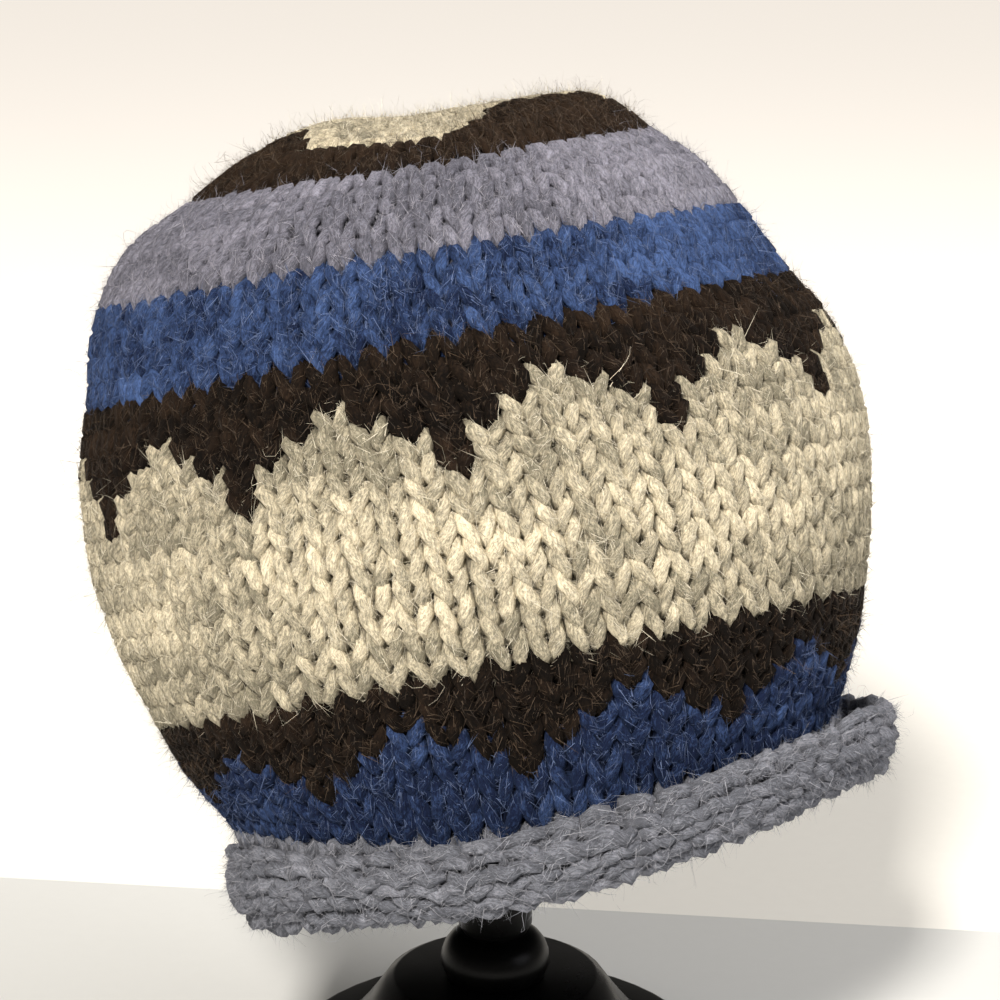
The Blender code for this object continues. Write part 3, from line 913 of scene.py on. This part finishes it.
def wool(name, dark, light):
    """Spun wool: streaks of fibre along the twist, partly painted highlight and shade, a mottle of locks,
    and painted shade in the hollows.

    From_Min and From_Max are where most of a noise's values lie.
    """
    made, tree, shader = new_material(name)
    place = add_node(tree, "ShaderNodeAttribute", {"attribute_name": "fibre_place"}).outputs["Vector"]
    tone = add_node(tree, "ShaderNodeAttribute", {"attribute_name": "tone"}).outputs["Fac"]
    painted_light_and_paleness = add_node(tree, "ShaderNodeAttribute", {"attribute_name": "painted_light_and_paleness"}).outputs["Fac"]
    squeeze = add_node(
        tree,
        "ShaderNodeMapping",
        {"vector_type": "POINT"},
        Vector=place,
        Scale=(1, 1, STREAK_SQUEEZE),
    )
    streak = add_node(
        tree,
        "ShaderNodeTexNoise",
        Vector=squeeze.outputs[0],
        Scale=1 / FIBRE_STREAK,
        Detail=3.0,
        Roughness=0.7,
    ).outputs["Fac"]
    clump = add_node(tree, "ShaderNodeTexNoise", Vector=place, Scale=1 / FIBRE_CLUMP, Detail=2.0)
    stretch = add_node(
        tree,
        "ShaderNodeMapRange",
        Value=streak,
        From_Min=0.36,
        From_Max=0.64,
        To_Min=-STREAK_TONE,
        To_Max=STREAK_TONE,
    )
    mottle = add_node(
        tree,
        "ShaderNodeMapRange",
        Value=clump.outputs["Fac"],
        From_Min=0.3,
        From_Max=0.7,
        To_Min=-CLUMP_TONE,
        To_Max=CLUMP_TONE,
    )
    both = add_node(
        tree,
        "ShaderNodeMath",
        {"operation": "ADD"},
        _0=stretch.outputs[0],
        _1=mottle.outputs[0],
    )
    share = add_node(
        tree,
        "ShaderNodeMath",
        {"operation": "ADD", "use_clamp": True},
        _0=both.outputs[0],
        _1=tone,
    )
    colour = add_node(
        tree,
        "ShaderNodeMix",
        {"data_type": "RGBA"},
        _0=share.outputs[0],
        _6=linear(dark),
        _7=linear(light),
    )
    # Painted shade in the hollows, from how lit the yarn is painted.
    hollow = add_node(
        tree,
        "ShaderNodeMapRange",
        Value=painted_light_and_paleness,
        From_Min=0.1,
        From_Max=0.85,
        To_Min=HOLLOW_SHADE,
        To_Max=1.0,
    )
    # Painted highlight and shade along the fibre streaks, partly their own tone.
    strand = add_node(
        tree,
        "ShaderNodeMapRange",
        Value=streak,
        From_Min=0.36,
        From_Max=0.62,
        To_Min=STRAND_SHADE[0],
        To_Max=STRAND_SHADE[1],
    )
    for shadow in (hollow, strand):
        colour = add_node(
            tree,
            "ShaderNodeMix",
            {"data_type": "RGBA", "blend_type": "MULTIPLY"},
            _0=1.0,
            _6=colour.outputs[2],
            _7=shadow.outputs[0],
        )
    tree.links.new(colour.outputs[2], shader.inputs["Base Color"])
    bump = add_node(tree, "ShaderNodeBump", Strength=0.7, Distance=0.0005, Height=streak)
    tree.links.new(bump.outputs[0], shader.inputs["Normal"])
    set_sockets(
        shader,
        {
            "Roughness": 0.95,
            "IOR": 1.45,
            "Specular IOR Level": 0.12,
            "Sheen Weight": 0.30,
            "Sheen Roughness": 0.5,
            "Sheen Tint": linear(light),
        },
    )
    return made


def loose_hair(name, dark, colour):
    """The fibre ends that stand off the yarn: the same wool, most of them paler, some dark."""
    made, tree, shader = new_material(name)
    shade = add_node(tree, "ShaderNodeAttribute", {"attribute_name": "painted_light_and_paleness"})
    mix = add_node(
        tree,
        "ShaderNodeMix",
        {"data_type": "RGBA"},
        _0=shade.outputs["Fac"],
        _6=linear(dark),
        _7=linear(colour),
    )
    tree.links.new(mix.outputs[2], shader.inputs["Base Color"])
    set_sockets(shader, {"Roughness": 0.6, "Specular IOR Level": 0.2})
    return made


YARN_MATERIALS = {
    wool_name: (wool(f"wool_{wool_name}", dark, light), loose_hair(f"wool_hair_{wool_name}", dark, hair))
    for wool_name, (dark, light, hair) in WOOLS.items()
}


def make_piece(name, heap, materials):
    """Makes a heap of loops and fibres into one mesh object."""
    points = np.concatenate(heap.points).astype(np.float32)
    faces = np.concatenate(heap.faces).astype(np.int32)
    mesh = bpy.data.meshes.new(name)
    mesh.vertices.add(len(points))
    mesh.vertices.foreach_set("co", points.ravel())
    mesh.loops.add(len(faces) * 3)
    mesh.loops.foreach_set("vertex_index", faces.ravel())
    mesh.polygons.add(len(faces))
    mesh.polygons.foreach_set("loop_start", np.arange(len(faces), dtype=np.int32) * 3)
    mesh.polygons.foreach_set("material_index", np.concatenate(heap.kinds))
    mesh.update(calc_edges=True)
    mesh.shade_smooth()
    place = mesh.attributes.new("fibre_place", "FLOAT_VECTOR", "POINT")
    place.data.foreach_set("vector", np.concatenate(heap.fibres).astype(np.float32).ravel())
    tone = mesh.attributes.new("tone", "FLOAT", "POINT")
    tone.data.foreach_set("value", np.concatenate(heap.tones).astype(np.float32))
    # The yarn's painted light and shade, and the paleness of its hairs.
    painted_light_and_paleness = mesh.attributes.new("painted_light_and_paleness", "FLOAT", "POINT")
    painted_light_and_paleness.data.foreach_set("value", np.concatenate(heap.painted_light_and_paleness).astype(np.float32))
    for material in materials:
        mesh.materials.append(material)
    made = bpy.data.objects.new(name, mesh)
    bpy.context.scene.collection.objects.link(made)
    return made


YARN_PIECES = [
    # piece, the solids it stands for, wool
    ("yarn_grey_brim", ("rolled_brim",), "grey"),
    ("yarn_grey_neck", ("brim_inner_leg",), "grey"),
    ("yarn_blue_peaks", ("band_blue_peaks",), "blue"),
    ("yarn_brown_lower", ("band_brown_lower",), "brown"),
    ("yarn_natural_low", ("band_natural",), "natural"),
    ("yarn_natural_high", ("band_natural",), "natural"),
    ("yarn_brown_upper", ("band_brown_upper",), "brown"),
    ("yarn_blue_stripe", ("band_blue",), "blue"),
    ("yarn_lavender", ("band_lavender",), "lavender"),
    ("yarn_crown_brown", ("crown_brown",), "brown"),
    ("yarn_crown_natural", ("crown_natural",), "natural"),
]
for piece_name, solids, wool_name in YARN_PIECES:
    piece = make_piece(piece_name, HEAPS[piece_name], YARN_MATERIALS[wool_name])
    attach(piece, "root")
    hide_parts(*solids)


# Stand
# A round foot and a post, injection-moulded in black ABS: a satin surface with a fine moulded
# grain. The solids' facets are shaded round in two copies, and only real edges stay sharp.
MOULD_GRAIN = 0.0006
WEAR_PATCH = 1 / 60.0
SATIN_ROUGHNESS = (0.24, 0.38)
SHARP_EDGE = math.radians(32.0)
JOIN_WITHIN = 1e-6


def moulded_plastic():
    """Black ABS: nearly black, a little duller where hands have worn the gloss off."""
    made, tree, shader = new_material("moulded_black_abs")
    place = add_node(tree, "ShaderNodeTexCoord").outputs["Object"]
    grain = add_node(
        tree,
        "ShaderNodeTexNoise",
        Vector=place,
        Scale=1 / MOULD_GRAIN,
        Detail=2.0,
        Roughness=0.6,
    ).outputs["Fac"]
    wear = add_node(tree, "ShaderNodeTexNoise", Vector=place, Scale=1 / WEAR_PATCH, Detail=4.0)
    gloss = add_node(
        tree,
        "ShaderNodeMapRange",
        Value=wear.outputs["Fac"],
        From_Min=0.3,
        From_Max=0.7,
        To_Min=SATIN_ROUGHNESS[0],
        To_Max=SATIN_ROUGHNESS[1],
    )
    shade = add_node(
        tree,
        "ShaderNodeMix",
        {"data_type": "RGBA"},
        _0=grain,
        _6=linear("#030303"),
        _7=linear("#0A0A0A"),
    )
    bump = add_node(tree, "ShaderNodeBump", Strength=0.12, Distance=0.0001, Height=grain)
    tree.links.new(shade.outputs[2], shader.inputs["Base Color"])
    tree.links.new(gloss.outputs[0], shader.inputs["Roughness"])
    tree.links.new(bump.outputs[0], shader.inputs["Normal"])
    set_sockets(shader, {"IOR": 1.54, "Specular IOR Level": 0.09})
    return made


def round_off(mesh):
    """Joins a solid's loose triangles and shades all but its sharp edges as round."""
    joined = bmesh.new()
    joined.from_mesh(mesh)
    bmesh.ops.remove_doubles(joined, verts=joined.verts, dist=JOIN_WITHIN)
    joined.to_mesh(mesh)
    joined.free()
    if "custom_normal" in mesh.attributes:
        mesh.attributes.remove(mesh.attributes["custom_normal"])
    mesh.shade_smooth()
    mesh.set_sharp_from_angle(angle=SHARP_EDGE)


def smooth_stand_piece(name, solid, material):
    """A smooth-shaded copy of one of the stand's solids, which stands for it."""
    piece = bpy.data.objects.new(name, solid.data.copy())
    piece.matrix_world = solid.matrix_world
    bpy.context.scene.collection.objects.link(piece)
    round_off(piece.data)
    piece.data.materials.clear()
    piece.data.materials.append(material)
    return piece


PLASTIC = moulded_plastic()
for piece_name, node in (("moulded_foot", "stand_base"), ("moulded_stem", "stand_post")):
    piece = smooth_stand_piece(piece_name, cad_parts[node], PLASTIC)
    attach(piece, "root")
    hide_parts(node)


# Floor and light
# A pale matt table top that meets a warm white wall's foot close behind, both drawn as one
# level floor, lit by soft daylight from the front and upper left. Away from the stand the
# floor glows a little, so that it is as bright as in a large pale room.
FLOOR_REACH = 6.0
GLOW_FROM = 0.26
GLOW_FULL_AT = 0.75
GLOW = 0.66
PAINT_GRAIN = 1 / 240.0
GRAIN_SHADE = 0.97
# Where the table top ends, left and right: two points (x, y) of a straight line.
TABLE_EDGE = ((-0.1432, 0.129), (0.1448, 0.090))


def matt_paint(name, colour):
    """Matt emulsion: an even colour, with a grain too faint to see at arm's length."""
    made, tree, shader = new_material(name)
    place = add_node(tree, "ShaderNodeTexCoord").outputs["Object"]
    grain = add_node(tree, "ShaderNodeTexNoise", Vector=place, Scale=1 / PAINT_GRAIN, Detail=3.0)
    light = linear(colour)
    shade = add_node(
        tree,
        "ShaderNodeMix",
        {"data_type": "RGBA"},
        _0=grain.outputs["Fac"],
        _6=(*[c * GRAIN_SHADE for c in light[:3]], 1.0),
        _7=light,
    )
    tree.links.new(shade.outputs[2], shader.inputs["Base Color"])
    set_sockets(shader, {"Roughness": 0.8, "Emission Color": linear("#FFF6EC")})
    away = add_node(tree, "ShaderNodeVectorMath", {"operation": "LENGTH"}, _0=place)
    far = add_node(
        tree,
        "ShaderNodeMapRange",
        Value=away.outputs["Value"],
        From_Min=GLOW_FROM,
        From_Max=GLOW_FULL_AT,
        To_Min=0.0,
        To_Max=GLOW,
    )
    tree.links.new(far.outputs[0], shader.inputs["Emission Strength"])
    return made


def edge_at(x):
    """How far back the table top reaches at x."""
    (x0, y0), (x1, y1) = TABLE_EDGE
    return y0 + (y1 - y0) * (x - x0) / (x1 - x0)


def floor_sheet(name, front, back, material):
    """A level sheet from the front edge's two y values to the back edge's, left then right."""
    left, right = -FLOOR_REACH, FLOOR_REACH
    corners = [(left, front[0], 0.0), (right, front[1], 0.0), (right, back[1], 0.0), (left, back[0], 0.0)]
    mesh = bpy.data.meshes.new(name)
    mesh.from_pydata(corners, [], [(0, 1, 2, 3)])
    mesh.materials.append(material)
    made = bpy.data.objects.new(name, mesh)
    bpy.context.scene.collection.objects.link(made)


TABLE_BACK = (edge_at(-FLOOR_REACH), edge_at(FLOOR_REACH))
floor_sheet("table_top", (-FLOOR_REACH, -FLOOR_REACH), TABLE_BACK, matt_paint("table_paint", "#D4D5D4"))
floor_sheet("white_floor", TABLE_BACK, (FLOOR_REACH, FLOOR_REACH), matt_paint("white_paint", "#F8F6F0"))


def softbox(name, place, size, power, colour):
    """A square lamp that points at the middle of the picture."""
    data = bpy.data.lights.new(name, "AREA")
    data.shape = "SQUARE"
    data.size = size
    data.energy = power
    data.color = linear(colour)[:3]
    lamp = bpy.data.objects.new(name, data)
    lamp.location = place
    aim = np.array(AIM) - np.array(place)
    lamp.rotation_euler = (
        math.acos(-aim[2] / np.linalg.norm(aim)),
        0.0,
        math.atan2(aim[1], aim[0]) - math.pi / 2,
    )
    bpy.context.scene.collection.objects.link(lamp)


SOFTBOXES = [
    # name, place, size, watts, colour
    ("window_key", (-0.25, -1.15, 1.08), 0.22, 39.0, "#FFF9F0"),
    ("room_fill", (1.1, -0.5, 0.80), 0.8, 4.0, "#F6F7FF"),
    ("top_glow", (0.70, 0.10, 1.10), 0.7, 8.0, "#FFFBF5"),
]
for lamp_row in SOFTBOXES:
    softbox(*lamp_row)

# The room's own light is dim, but seen directly, above the floor, the room is bright.
ROOM_LIGHT = 0.22
ROOM_SEEN = 0.92
world = bpy.data.worlds.new("room")
world.use_nodes = True
room = world.node_tree
background = room.nodes["Background"]
background.inputs["Color"].default_value = linear("#FFF9F1")
seen = add_node(room, "ShaderNodeLightPath")
strength = add_node(
    room,
    "ShaderNodeMapRange",
    Value=seen.outputs["Is Camera Ray"],
    To_Min=ROOM_LIGHT,
    To_Max=ROOM_SEEN,
)
room.links.new(strength.outputs[0], background.inputs["Strength"])
bpy.context.scene.world = world
bpy.context.scene.view_settings.view_transform = "Standard"
